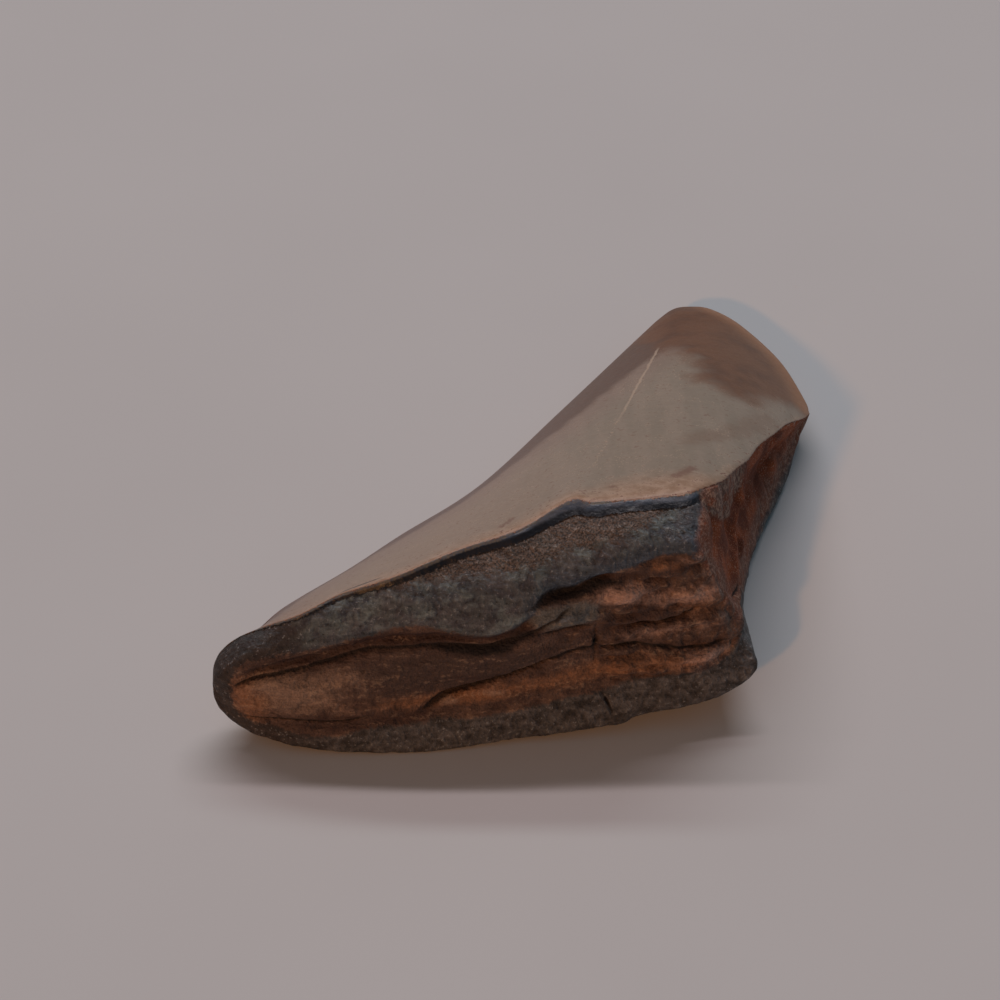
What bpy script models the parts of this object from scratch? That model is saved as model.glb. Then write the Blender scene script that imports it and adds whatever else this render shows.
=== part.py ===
"""Broken megalodon tooth: half of the crown with one root lobe, lying on its flatter face.

One solid. Every guide line starts at the end of the root lobe, runs along the tooth, turns where
the tooth broke and meets the others at the far corner of the break. Closed ribs join the guide
lines, so the skin is one grid with a point at each end. Relief is then pressed into that grid.
Frame: +Y runs from the root towards the tip, +X from the lobe towards the break, +Z up,
with the origin on the flat resting patch. All sizes below are in millimetres.
"""

import bmesh
import bpy
import numpy as np

MM = 0.001

LOBE_END = (-33.4, -17.5, 5.2)
BREAK_END = (23.6, 23.4, 3.6)

# Each guide line is (along the tooth, across the break): x, y, z.
CUTTING_EDGE = (
    (LOBE_END, (-32.5, -15.6, 6.2), (-30.9, -14.6, 7.5), (-29.1, -13.9, 8.4), (-27.9, -10.1, 7.1),
     (-26.3, -7.0, 6.0), (-22.0, -1.6, 4.8), (-17.6, 3.8, 4.1), (-10.0, 12.2, 3.4),
     (-1.8, 24.6, 3.0), (7.0, 37.7, 3.0), (9.3, 41.0, 3.0), (10.9, 42.7, 3.0), (12.6, 43.1, 3.0)),
    ((14.8, 42.5, 3.1), (17.8, 39.4, 3.2), (21.4, 32.7, 3.4), (23.3, 26.0, 3.5), BREAK_END),
)
BREAK_TOP = (
    (11.8, -4.8, 18.0), (13.1, -1.9, 16.8), (14.9, 2.1, 14.9), (16.3, 6.4, 13.0),
    (18.6, 11.8, 10.3), (20.4, 16.4, 7.8), (22.5, 20.4, 5.3),
)
BREAK_FOOT = (
    (14.6, -5.6, 3.4), (15.2, -1.4, 2.6), (16.0, 2.7, 2.0), (17.2, 6.2, 1.6),
    (19.2, 11.8, 1.2), (20.9, 16.3, 1.2), (22.4, 21.2, 2.3),
)
ENAMEL_LINE = (
    (LOBE_END, (-33.2, -16.6, 6.8), (-32.4, -16.2, 8.2), (-31.0, -16.1, 9.5), (-28.8, -16.0, 10.7),
     (-25.4, -16.6, 12.2), (-21.9, -15.7, 13.7), (-17.1, -15.4, 15.3), (-11.7, -13.4, 17.1),
     (-6.3, -12.0, 18.5), (-1.9, -9.4, 19.6), (0.4, -10.1, 20.0), (7.2, -9.0, 20.0),
     (9.6, -7.7, 19.5)),
    (*BREAK_TOP, BREAK_END),
)
UPPER_RIM = (
    (LOBE_END, (-33.0, -18.0, 6.3), (-31.8, -18.3, 7.6), (-29.6, -18.2, 9.3), (-24.5, -17.8, 10.4),
     (-17.9, -17.6, 12.3), (-9.7, -18.6, 11.6), (-6.4, -18.2, 12.2), (-3.2, -16.9, 13.7),
     (0.6, -15.6, 16.0), (5.8, -13.3, 17.3), (9.1, -12.6, 17.2)),
    ((11.2, -8.0, 15.2), (13.1, -2.7, 12.4)),
)
LOWER_RIM = (
    (LOBE_END, (-32.6, -18.4, 4.6), (-30.5, -19.6, 3.7), (-28.2, -20.3, 3.3), (-22.2, -20.8, 2.9),
     (-13.6, -19.8, 3.0), (-4.0, -18.5, 3.7), (3.7, -17.0, 4.6), (9.7, -16.4, 5.4),
     (12.9, -14.6, 6.4), (14.2, -12.9, 7.1)),
    ((13.7, -9.2, 7.0),),
)
LOWEST_LINE = (
    (LOBE_END, (-33.2, -18.1, 3.9), (-32.3, -18.9, 2.6), (-29.7, -20.0, 1.4), (-24.4, -20.9, 0.6),
     (-15.1, -20.9, 0.2), (-7.1, -19.9, 0.6), (0.9, -18.8, 1.2), (2.9, -18.6, 1.4),
     (4.4, -18.1, 1.9), (8.9, -17.5, 2.5), (13.0, -16.2, 3.2), (15.5, -15.1, 4.6),
     (15.4, -13.2, 5.2)),
    ((14.5, -9.2, 4.2),),
)
REST_LINE = (
    (LOBE_END, (-32.3, -17.6, 3.3), (-30.4, -17.9, 1.4), (-27.5, -18.4, 0.2), (-20.0, -18.8, 0.0),
     (-12.0, -18.2, 0.0), (-4.0, -16.2, 0.0), (4.0, -12.6, 0.0), (10.5, -9.6, 0.8),
     (12.6, -8.6, 1.6)),
    (),
)
RIM_HEIGHT_ON_BREAK = 0.32   # where the rims cross the break, as shares from its top to its foot
LOWER_HEIGHT_ON_BREAK = 0.8
BREAK_HOLLOW = 0.5           # how far the break dips behind a straight wall
LOW_BREAK_HOLLOW = 0.3
FOOT_INSET = 2.2             # how far the underside starts behind the foot of the break
FOOT_DROP = 0.5              # and how low, as a share of the foot's height

EDGE_HALF_THICKNESS = 0.35
EDGE_INSET = 0.5
CROWN_SWELL = 0.05           # how far the crown stands above a straight slope, as a share of its fall
CROWN_BLEND_MM = 8           # the crown's slope is evened out over about this length
ENAMEL_STEP_WIDTH = 0.1      # the enamel ends in a small step, as shares of the root's upper side
ENAMEL_STEP = 0.04
ROOT_SWELL = 0.13            # bulge of the root's upper side, as a share of its width
BASE_HOLLOW = 0.05           # how far the worn base dips between its rims, as a share of its height
FLAT_SHARE = 0.6             # share of the underside that is flat, from the root forwards
EDGE_RISE = 1.6              # how late the rest of the underside curves up to the cutting edge

# Relief as (height out of the skin, half width, line). The worn base's lines are x, z seen from
# the front; those of the break are y, z seen from the side. A crack has a negative height.
BASE_RELIEF = (
    (-1.4, 0.7, ((-31.4, 6.5), (-28.8, 7.9), (-25.5, 8.7), (-19.8, 10.2), (-15.8, 10.6), (-10.0, 10.4))),
    (-2.0, 0.9, ((-12.5, 10.6), (-8.9, 10.7), (-6.2, 11.4), (-4.2, 12.6), (-1.8, 14.1), (0.7, 15.2),
                 (2.8, 15.2), (4.8, 14.6), (6.8, 14.2))),
    (-1.2, 0.65, ((-14.4, 5.1), (-11.8, 6.2), (-8.5, 7.1), (-5.4, 8.4), (-1.8, 9.2), (0.2, 9.8))),
    (-0.8, 0.6, ((-8.0, 10.9), (-6.0, 11.6), (-4.1, 11.9), (0.0, 11.6))),
    (-0.9, 0.6, ((0.4, 13.4), (0.3, 11.6), (0.2, 9.7), (0.3, 6.3))),
    (-1.1, 0.65, ((2.0, 11.1), (4.8, 10.8), (6.9, 10.8), (9.9, 11.8))),
    (-1.1, 0.65, ((1.0, 9.5), (5.5, 9.0), (9.7, 8.1), (12.6, 8.3))),
    (-0.7, 0.6, ((-31.2, 3.9), (-28.9, 3.9), (-22.1, 4.0), (-17.2, 4.6), (-15.0, 5.2))),
    (-1.0, 0.55, ((0.7, 5.3), (0.9, 4.2), (1.7, 2.6), (2.4, 1.2))),
    (-0.8, 0.6, ((7.2, 13.4), (9.4, 13.0), (11.8, 12.6))),
    (1.0, 1.1, ((1.2, 13.7), (2.6, 13.6), (4.6, 12.8))),
    (0.7, 0.9, ((4.6, 12.2), (7.6, 12.0), (10.6, 12.3))),
    (0.6, 0.7, ((1.6, 10.2), (6.0, 9.9), (11.0, 10.0))),
    (0.9, 1.0, ((-13.0, 4.6), (-9.8, 5.4), (-5.0, 6.6), (-1.0, 7.7))),
    (0.7, 1.0, ((1.4, 7.3), (7.9, 6.8), (12.0, 6.9))),
    (0.6, 1.9, ((-29.0, 6.0), (-23.0, 6.9), (-16.0, 8.0), (-8.0, 9.3), (-2.0, 10.4))),
)
BREAK_RELIEF = (
    (0.7, 1.0, ((-12.0, 7.8), (-9.0, 8.8), (-6.0, 9.9), (-3.0, 11.8), (1.0, 12.8))),
    (-1.0, 2.0, ((2.0, 9.5), (7.0, 8.0), (13.0, 5.5))),
)
BASE_FRONT_Y = -10           # the base's relief is at full height in front of this
BASE_BACK_Y = -6             # and has faded out behind this
BREAK_NEAR_X = 11            # the break's relief fades in between these
BREAK_FAR_X = 13
SWELLS = ((0.16, 3.2, 1.0), (0.16, 1.1, 5.0))   # unevenness as (height, length, seed)

ALONG_STEPS = 84             # stations along the tooth, then across the break
ACROSS_STEPS = 30
EDGE_GROWTH_STATIONS = 10    # the cutting edge thins out over these at each end
BREAK_GROWTH_STATIONS = 6
FADE_STATIONS = 8            # the root's bulges fade out over these at the break
CROWN_STEPS = 6
FRONT_STEPS = (1, 2, 2, 6, 6, 6, 2, 1)
UNDER_STEPS = 5
CURVE_STEPS = 40
TINY = 1e-6


def between(a, b, share):
    return a + (b - a) * share


def smooth_curve(points, counts):
    """A Catmull-Rom curve through the points (k, ...), read at a given count of places per span."""
    points = np.asarray(points, float)
    counts = np.broadcast_to(counts, len(points) - 1)
    padded = np.concatenate([2 * points[:1] - points[1:2], points, 2 * points[-1:] - points[-2:-1]])
    spans = []
    for a, b, c, d, count in zip(padded[:-3], padded[1:-2], padded[2:-1], padded[3:], counts):
        t = (np.arange(count) / count).reshape((-1,) + (1,) * (points.ndim - 1))
        bend = (2 * a - 5 * b + 4 * c - d) * t**2 + (3 * b - a - 3 * c + d) * t**3
        spans.append(b + 0.5 * ((c - a) * t + bend))
    return np.concatenate(spans + [points[-1:]])


def evenly(dense, steps):
    """Points at equal steps of length along a dense line, both ends included."""
    length = np.concatenate([[0], np.cumsum(np.linalg.norm(np.diff(dense, axis=0), axis=1))])
    places = np.linspace(0, length[-1], steps + 1)
    return np.stack([np.interp(places, length, dense[:, i]) for i in range(3)], axis=1)


def stations(line):
    """The stations of a guide line: equal steps along the tooth, then across the break."""
    along, across = line
    dense = smooth_curve([*along, *across], CURVE_STEPS)
    turn = (len(along) - 1) * CURVE_STEPS
    return np.concatenate([evenly(dense[:turn + 1], ALONG_STEPS)[:-1], evenly(dense[turn:], ACROSS_STEPS)])


def over_break(line, height, hollow, skip=0):
    """A guide line carried on over the break at a share of the height between its top and foot."""
    along, across = line
    tail = between(np.array(BREAK_TOP[skip:]), np.array(BREAK_FOOT[skip:]), height) - [hollow, 0, 0]
    return along, (*across, *map(tuple, tail), BREAK_END)


def over_foot(line):
    """The resting line carried on behind the foot of the break, closing in on it."""
    along, across = line
    count = len(BREAK_FOOT)
    tail = [
        (x - FOOT_INSET * (1 - i / count), y, z * FOOT_DROP) for i, (x, y, z) in enumerate(BREAK_FOOT)
    ]
    return along, (*across, *tail, BREAK_END)


def swollen(a, b, share, swell):
    """A point between a and b, pushed out of the chord by swell times the chord's length."""
    chord = b - a
    forward = np.linalg.norm(chord[:, :2], axis=1, keepdims=True)
    ahead = chord[:, :2] / np.maximum(forward, TINY)
    out = np.concatenate([-chord[:, 2:] * ahead, forward], axis=1)
    return between(a, b, share) + out * swell


def evened(rows):
    """Each row (row, station, 3) averaged over a window of stations."""
    reach = round(CROWN_BLEND_MM / 0.8)
    padded = np.pad(rows, ((0, 0), (reach, reach), (0, 0)), mode="reflect", reflect_type="odd")
    total = sum(padded[:, i:i + rows.shape[1]] for i in range(2 * reach + 1))
    return total / (2 * reach + 1)


def ribs():
    """All the ribs as an array (station, place round the rib, 3)."""
    edge = stations(CUTTING_EDGE)
    enamel = stations(ENAMEL_LINE)
    upper = stations(over_break(UPPER_RIM, RIM_HEIGHT_ON_BREAK, BREAK_HOLLOW, skip=2))
    lower = stations(over_break(LOWER_RIM, LOWER_HEIGHT_ON_BREAK, LOW_BREAK_HOLLOW))
    lowest = stations(over_break(LOWEST_LINE, 1, 0))
    rest = stations(over_foot(REST_LINE))

    station = np.arange(ALONG_STEPS + ACROSS_STEPS + 1)[:, None]
    left = station[::-1]
    growth = np.clip(station / EDGE_GROWTH_STATIONS, 0, 1) * np.clip(left / BREAK_GROWTH_STATIONS, 0, 1)
    unbroken = np.clip((ALONG_STEPS - station) / FADE_STATIONS, 0, 1)
    past_lobe = np.clip(station / ALONG_STEPS * 3 - 0.5, 0, 1)

    inward = (enamel - edge) * [1, 1, 0]
    inward = inward / np.maximum(np.linalg.norm(inward, axis=1, keepdims=True), TINY) * EDGE_INSET * growth
    lift = np.array([0, 0, EDGE_HALF_THICKNESS]) * growth

    t = (np.arange(CROWN_STEPS) / CROWN_STEPS)[:, None, None]
    crown = between(edge + inward + lift, enamel, t)
    crown[..., 2:] += (enamel - edge)[:, 2:] * CROWN_SWELL * np.sin(np.pi * t)
    crown = between(crown, evened(crown), np.sin(np.pi * t) * growth)

    front = smooth_curve(np.stack([
        enamel,
        swollen(enamel, upper, ENAMEL_STEP_WIDTH, -ENAMEL_STEP * unbroken),
        swollen(enamel, upper, 0.5, ROOT_SWELL * unbroken),
        upper,
        swollen(upper, lower, 0.35, -BASE_HOLLOW * unbroken),
        swollen(upper, lower, 0.7, -BASE_HOLLOW * unbroken),
        lower, lowest, rest,
    ]), FRONT_STEPS)[:-1]

    t = (np.arange(UNDER_STEPS + 1) / UNDER_STEPS)[:, None, None]
    under = between(rest, edge + inward - lift, t)
    rise = np.clip((t - FLAT_SHARE) / (1 - FLAT_SHARE), 0, 1) ** EDGE_RISE
    sink = past_lobe * (1 - (1 - t) ** 2)
    under[..., 2:] = between(rest[:, 2:] * (1 - sink), (edge - lift)[:, 2:], rise)
    return np.concatenate([edge[None], crown, front, under]).transpose(1, 0, 2)


def outward(grid):
    """Unit normals of the rib grid, pointing out of the tooth."""
    along = np.gradient(grid, axis=0)
    wrapped = np.concatenate([grid[:, -1:], grid, grid[:, :1]], axis=1)
    around = (wrapped[:, 2:] - wrapped[:, :-2]) / 2
    normal = np.cross(around, along)
    return normal / np.maximum(np.linalg.norm(normal, axis=2, keepdims=True), TINY)


def distance_to(line, places):
    """Distance from each place to the nearest point of a smoothed line, both in the same plane."""
    line = smooth_curve(line, 3)
    nearest = np.full(places.shape[:-1], np.inf)
    for start, end in zip(line[:-1], line[1:]):
        span = end - start
        share = np.clip((places - start) @ span / (span @ span), 0, 1)
        gap = np.linalg.norm(places - start - share[..., None] * span, axis=-1)
        nearest = np.minimum(nearest, gap)
    return nearest


def grain(places, seed):
    """Smooth value noise between -1 and 1, with about one swell per unit of length."""
    cell = np.floor(places)
    f = places - cell
    f = f * f * (3 - 2 * f)
    total = 0
    for corner in np.ndindex(2, 2, 2):
        scrambled = np.sin((cell + corner) @ np.array([127.1, 311.7, 74.7]) + seed) * 43758.5453
        weight = np.prod(np.where(corner, f, 1 - f), axis=-1)
        total = total + (scrambled - np.floor(scrambled)) * weight
    return total * 2 - 1


def pressed(lines, places):
    """The summed height of some relief lines at the given places."""
    return sum(rise * np.exp(-((distance_to(line, places) / width) ** 2)) for rise, width, line in lines)


def relief(grid):
    """How far each grid place stands out of the smooth skin."""
    root = np.zeros(grid.shape[:2])
    root[:, CROWN_STEPS + 2:-UNDER_STEPS] = 1
    on_base = np.clip((grid[..., 1] - BASE_BACK_Y) / (BASE_FRONT_Y - BASE_BACK_Y), 0, 1)
    on_break = np.clip((grid[..., 0] - BREAK_NEAR_X) / (BREAK_FAR_X - BREAK_NEAR_X), 0, 1)
    uneven = sum(height * grain(grid / length, seed) for height, length, seed in SWELLS)
    return root * (
        uneven + on_base * pressed(BASE_RELIEF, grid[..., [0, 2]]) + on_break * pressed(BREAK_RELIEF, grid[..., 1:])
    )


def add_tooth():
    grid = ribs()
    grid = grid + outward(grid) * relief(grid)[..., None]
    grid[..., 2] = np.maximum(grid[..., 2], 0)
    bm = bmesh.new()
    lobe_end, break_end = (bm.verts.new(np.array(p) * MM) for p in (LOBE_END, BREAK_END))
    rings = [[bm.verts.new(p * MM) for p in ring] for ring in grid[1:-1]]
    around = len(rings[0])
    for i in range(around):
        j = (i + 1) % around
        bm.faces.new((lobe_end, rings[0][i], rings[0][j]))
        bm.faces.new((break_end, rings[-1][j], rings[-1][i]))
        for near, far in zip(rings[:-1], rings[1:]):
            bm.faces.new((near[i], far[i], far[j], near[j]))
    bmesh.ops.recalc_face_normals(bm, faces=bm.faces)
    mesh = bpy.data.meshes.new("tooth")
    bm.to_mesh(mesh)
    bm.free()
    tooth = bpy.data.objects.new("tooth", mesh)
    bpy.context.scene.collection.objects.link(tooth)

    fossil = bpy.data.materials.new("fossil_tooth")
    fossil.use_nodes = True
    surface = fossil.node_tree.nodes["Principled BSDF"]
    surface.inputs["Base Color"].default_value = (0.13, 0.1, 0.08, 1)
    surface.inputs["Roughness"].default_value = 0.5
    surface.inputs["Metallic"].default_value = 0
    mesh.materials.append(fossil)


for obj in list(bpy.data.objects):
    bpy.data.objects.remove(obj)
add_tooth()
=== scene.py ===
import math

import bpy
import numpy as np
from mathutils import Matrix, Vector


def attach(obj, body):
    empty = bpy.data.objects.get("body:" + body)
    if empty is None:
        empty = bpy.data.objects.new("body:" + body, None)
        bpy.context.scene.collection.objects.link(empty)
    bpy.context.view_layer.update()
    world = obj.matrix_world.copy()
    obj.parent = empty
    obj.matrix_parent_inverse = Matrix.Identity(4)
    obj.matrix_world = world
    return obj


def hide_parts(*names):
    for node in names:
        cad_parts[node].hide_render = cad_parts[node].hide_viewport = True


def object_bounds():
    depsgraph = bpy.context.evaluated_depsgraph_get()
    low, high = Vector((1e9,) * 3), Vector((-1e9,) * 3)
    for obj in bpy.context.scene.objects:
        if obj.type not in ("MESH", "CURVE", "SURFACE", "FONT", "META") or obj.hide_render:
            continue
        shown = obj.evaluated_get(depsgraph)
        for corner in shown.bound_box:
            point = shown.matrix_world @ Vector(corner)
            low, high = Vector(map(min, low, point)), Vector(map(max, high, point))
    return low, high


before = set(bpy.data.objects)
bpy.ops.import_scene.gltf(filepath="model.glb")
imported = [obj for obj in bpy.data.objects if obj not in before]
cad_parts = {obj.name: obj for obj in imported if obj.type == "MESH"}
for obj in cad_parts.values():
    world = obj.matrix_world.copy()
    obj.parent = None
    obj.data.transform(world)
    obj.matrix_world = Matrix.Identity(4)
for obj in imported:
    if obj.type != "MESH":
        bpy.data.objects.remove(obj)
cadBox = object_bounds()
mm = 0.001
tiny = 1e-6         # the least length that anything is divided by
print("frame loaded")

# The tooth's skin. Lengths are in millimetres: x from the root lobe to the break, y from the root
# to the tip, z up. A guide line is (along the tooth, across the break).
lobeEnd = (-33.4, -17.5, 5.2)
breakEnd = (23.6, 23.4, 3.6)
breakTop = (
    (11.8, -4.8, 18.0), (13.1, -1.9, 16.8), (14.9, 2.1, 14.9), (16.3, 6.4, 13.0),
    (18.6, 11.8, 10.3), (20.4, 16.4, 7.8), (22.5, 20.4, 5.3),
)
breakFoot = (
    (14.6, -5.6, 3.4), (15.2, -1.4, 2.6), (16.0, 2.7, 2.0), (17.2, 6.2, 1.6),
    (19.2, 11.8, 1.2), (20.9, 16.3, 1.2), (22.4, 21.2, 2.3),
)
toothShape = {
    "cuttingEdge": (
        (lobeEnd, (-32.5, -15.6, 6.2), (-30.9, -14.6, 7.5), (-29.1, -13.9, 8.4),
         (-27.9, -10.1, 7.1), (-26.3, -7.0, 6.0), (-22.0, -1.6, 4.8), (-17.6, 3.8, 4.1),
         (-10.0, 12.2, 3.4), (-1.8, 24.6, 3.0), (7.0, 37.7, 3.0), (9.3, 41.0, 3.0),
         (10.9, 42.7, 3.0), (12.6, 43.1, 3.0)),
        ((14.8, 42.5, 3.1), (17.8, 39.4, 3.2), (21.4, 32.7, 3.4), (23.3, 26.0, 3.5), breakEnd),
    ),
    "enamelLine": (
        (lobeEnd, (-33.2, -16.6, 6.8), (-32.4, -16.2, 8.2), (-31.0, -16.1, 9.5),
         (-28.8, -16.3, 10.9), (-25.4, -16.9, 12.9), (-21.9, -15.7, 14.2), (-17.1, -15.4, 16.0),
         (-11.7, -13.4, 17.3), (-6.3, -12.0, 18.5), (-1.9, -9.4, 19.6), (0.4, -10.1, 20.0),
         (7.2, -9.0, 20.0), (9.6, -7.7, 19.5)),
        (*breakTop, breakEnd),
    ),
    "upperRim": (
        (lobeEnd, (-33.0, -18.2, 6.5), (-31.8, -18.6, 7.9), (-29.6, -18.6, 9.7),
         (-24.5, -18.1, 10.7), (-17.9, -17.4, 12.1), (-9.7, -18.0, 11.1), (-6.4, -17.6, 11.7),
         (-3.2, -16.5, 13.4), (0.6, -15.3, 15.8), (5.8, -13.5, 17.5), (9.1, -13.1, 17.6)),
        ((11.2, -8.0, 15.2), (13.1, -2.7, 12.4)),
    ),
    "lowerRim": (
        (lobeEnd, (-32.6, -18.4, 4.6), (-30.5, -19.6, 3.7), (-28.2, -20.3, 3.3),
         (-22.2, -20.8, 2.9), (-13.6, -19.8, 3.0), (-4.0, -18.5, 3.7), (3.7, -17.0, 4.6),
         (9.7, -16.4, 5.4), (12.9, -14.6, 6.4), (13.8, -12.9, 7.1)),
        ((13.7, -9.2, 7.0),),
    ),
    "lowestLine": (
        (lobeEnd, (-33.2, -18.1, 3.9), (-32.3, -18.9, 2.6), (-29.7, -20.0, 1.4),
         (-24.4, -20.9, 0.6), (-15.1, -20.9, 0.2), (-7.1, -19.9, 0.6), (0.9, -18.8, 1.2),
         (2.9, -18.6, 1.4), (4.4, -18.1, 1.9), (8.9, -17.5, 2.5), (12.7, -16.3, 3.2),
         (14.8, -15.2, 4.5), (14.8, -13.3, 5.2)),
        ((14.5, -9.2, 4.2),),
    ),
    "restLine": (
        (lobeEnd, (-32.3, -17.6, 3.3), (-30.4, -17.9, 1.4), (-27.5, -18.4, 0.2),
         (-20.0, -18.8, 0.0), (-12.0, -18.2, 0.0), (-4.0, -16.2, 0.0), (4.0, -12.6, 0.0),
         (10.5, -9.6, 0.8), (12.6, -8.6, 1.6)),
        (),
    ),
    "rimOnBreak": 0.32,        # where the rims cross the break, as shares from its top to its foot
    "lowerOnBreak": 0.8,
    "breakHollow": 0.5,        # how far the break dips behind a straight wall
    "lowBreakHollow": 0.3,
    "footInset": 2.2,          # the underside starts this far behind the foot of the break
    "footDrop": 0.5,
    "edgeHalfThickness": 0.35,
    "edgeInset": 0.5,
    "crownSwell": 0.05,
    "neckShare": 0.1,          # the neck bends here, as a share from the enamel to the rim
    "neckSwell": 0.02,
    "swellShare": 0.5,         # the root swells most here
    "rootSwell": 0.11,
    "hollowShares": (0.35, 0.7),   # the worn base is hollow here, as shares from rim to rim
    "baseHollow": 0.05,
    "lobeReach": (1 / 6, 1 / 2),   # the underside starts to sink here and sinks fully here
    "flatShare": 0.6,          # the underside is flat up to here, then rises to the edge
    "edgeRise": 1.6,
    "stationsAlong": 378,      # stations along the tooth, then across the break
    "stationsAcross": 135,
    "edgeGrowth": 45,          # stations over which the cutting edge thins out at the lobe
    "breakGrowth": 27,         # and at the break
    "bulgeFade": 36,           # stations over which the root's bulges fade out at the break
    "crownBlend": 45,          # stations over which the crown's slope is evened out
    "crownSteps": 28,
    "frontSteps": (5, 9, 22, 24, 30, 32, 14, 7),
    "underSteps": 19,
    "curveSteps": 120,
}


def between(a, b, share):
    # a + (b - a) x share
    return a + (b - a) * share


def faded(values, start, end):
    # 0 before start, 1 after end, straight in between
    return np.clip((values - start) / (end - start), 0, 1)


def smoothCurve(points, counts):
    # Catmull-Rom through the points: each span is a cubic whose end slopes are half the chord
    # between its neighbours, read at counts places
    points = np.asarray(points, float)
    counts = np.broadcast_to(counts, len(points) - 1)
    first, last = 2 * points[:1] - points[1:2], 2 * points[-1:] - points[-2:-1]
    padded = np.concatenate([first, points, last])
    spans = []
    for a, b, c, d, count in zip(padded[:-3], padded[1:-2], padded[2:-1], padded[3:], counts):
        t = (np.arange(count) / count).reshape((-1,) + (1,) * (points.ndim - 1))
        bend = (2 * a - 5 * b + 4 * c - d) * t**2 + (3 * b - a - 3 * c + d) * t**3
        spans.append(b + 0.5 * ((c - a) * t + bend))
    return np.concatenate(spans + [points[-1:]])


def evenly(dense, steps):
    # the dense line read again at equal steps of its own length
    length = np.concatenate([[0], np.cumsum(np.linalg.norm(np.diff(dense, axis=0), axis=1))])
    places = np.linspace(0, length[-1], steps + 1)
    return np.stack([np.interp(places, length, dense[:, i]) for i in range(3)], axis=1)


def stations(shape, line):
    # equal steps along the tooth, then equal steps across the break
    along, across = line
    dense = smoothCurve([*along, *across], shape["curveSteps"])
    turn = (len(along) - 1) * shape["curveSteps"]
    alongPart = evenly(dense[:turn + 1], shape["stationsAlong"])
    return np.concatenate([alongPart[:-1], evenly(dense[turn:], shape["stationsAcross"])])


def overBreak(line, height, hollow, skip=0):
    # the line goes on over the break, at a share of the height from its top to its foot
    along, across = line
    tail = between(np.array(breakTop[skip:]), np.array(breakFoot[skip:]), height) - [hollow, 0, 0]
    return along, (*across, *map(tuple, tail), breakEnd)


def overFoot(shape):
    # the resting line goes on behind the foot of the break and closes in on it
    along, across = shape["restLine"]
    count = len(breakFoot)
    tail = [(x - shape["footInset"] * (1 - i / count), y, z * shape["footDrop"])
            for i, (x, y, z) in enumerate(breakFoot)]
    return along, (*across, *tail, breakEnd)


def swollen(a, b, share, swell):
    # a + (b - a) x share, pushed out of the chord a-b by swell x its length
    chord = b - a
    forward = np.linalg.norm(chord[:, :2], axis=1, keepdims=True)
    ahead = chord[:, :2] / np.maximum(forward, tiny)
    return between(a, b, share) + np.concatenate([-chord[:, 2:] * ahead, forward], axis=1) * swell


def evened(rows, reach):
    # running mean over 2 x reach + 1 stations, with the ends mirrored through their last point
    padded = np.pad(rows, ((0, 0), (reach, reach), (0, 0)), mode="reflect", reflect_type="odd")
    total = np.cumsum(np.pad(padded, ((0, 0), (1, 0), (0, 0))), axis=1)
    window = 2 * reach + 1
    return (total[:, window:] - total[:, :-window]) / window


def crownRibs(shape, edge, start, enamel, growth):
    # straight from the start, just inside the edge, to the enamel line, lifted by a sine of the
    # share between them, and evened along the tooth most in the middle
    t = (np.arange(shape["crownSteps"]) / shape["crownSteps"])[:, None, None]
    arch = np.sin(np.pi * t)
    crown = between(start, enamel, t)
    crown[..., 2:] += (enamel - edge)[:, 2:] * shape["crownSwell"] * arch
    return between(crown, evened(crown, shape["crownBlend"]), arch * growth)


def frontRibs(shape, enamel, upper, lower, lowest, rest, unbroken):
    # a smooth curve from the enamel line over the neck, the root's swell, the rim, the hollow worn
    # base, the lower rim and the lowest line to the resting line
    hollow = -shape["baseHollow"] * unbroken
    return smoothCurve(np.stack([
        enamel,
        swollen(enamel, upper, shape["neckShare"], shape["neckSwell"] * unbroken),
        swollen(enamel, upper, shape["swellShare"], shape["rootSwell"] * unbroken),
        upper,
        *[swollen(upper, lower, share, hollow) for share in shape["hollowShares"]],
        lower, lowest, rest,
    ]), shape["frontSteps"])[:-1]


def undersideRibs(shape, rest, end, sinkShare):
    # straight in plan from the resting line to the end, under the edge; its height sinks towards
    # the floor by 1 - (1 - t)^2, then rises to the end by a power of the last part of the way
    t = (np.arange(shape["underSteps"] + 1) / shape["underSteps"])[:, None, None]
    under = between(rest, end, t)
    rise = faded(t, shape["flatShare"], 1) ** shape["edgeRise"]
    sink = sinkShare * (1 - (1 - t) ** 2)
    under[..., 2:] = between(rest[:, 2:] * (1 - sink), end[:, 2:], rise)
    return under


def ribGrid(shape):
    # point(station, place round): each rib goes from the edge over the crown, down the front and
    # back under the tooth to the edge
    edge = stations(shape, shape["cuttingEdge"])
    enamel = stations(shape, shape["enamelLine"])
    upper = stations(shape, overBreak(shape["upperRim"], shape["rimOnBreak"], shape["breakHollow"], 2))
    lower = stations(shape, overBreak(shape["lowerRim"], shape["lowerOnBreak"], shape["lowBreakHollow"]))
    lowest = stations(shape, overBreak(shape["lowestLine"], 1, 0))
    rest = stations(shape, overFoot(shape))

    along = shape["stationsAlong"]
    station = np.arange(along + shape["stationsAcross"] + 1)[:, None]
    growth = faded(station, 0, shape["edgeGrowth"]) * faded(station[::-1], 0, shape["breakGrowth"])
    unbroken = faded(along - station, 0, shape["bulgeFade"])
    pastLobe = faded(station / along, *shape["lobeReach"])

    inward = (enamel - edge) * [1, 1, 0]
    inward = inward / np.maximum(np.linalg.norm(inward, axis=1, keepdims=True), tiny)
    inward = inward * shape["edgeInset"] * growth
    lift = np.array([0, 0, shape["edgeHalfThickness"]]) * growth

    crown = crownRibs(shape, edge, edge + inward + lift, enamel, growth)
    front = frontRibs(shape, enamel, upper, lower, lowest, rest, unbroken)
    under = undersideRibs(shape, rest, edge + inward - lift, pastLobe * growth)
    return np.concatenate([edge[None], crown, front, under]).transpose(1, 0, 2)


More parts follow.
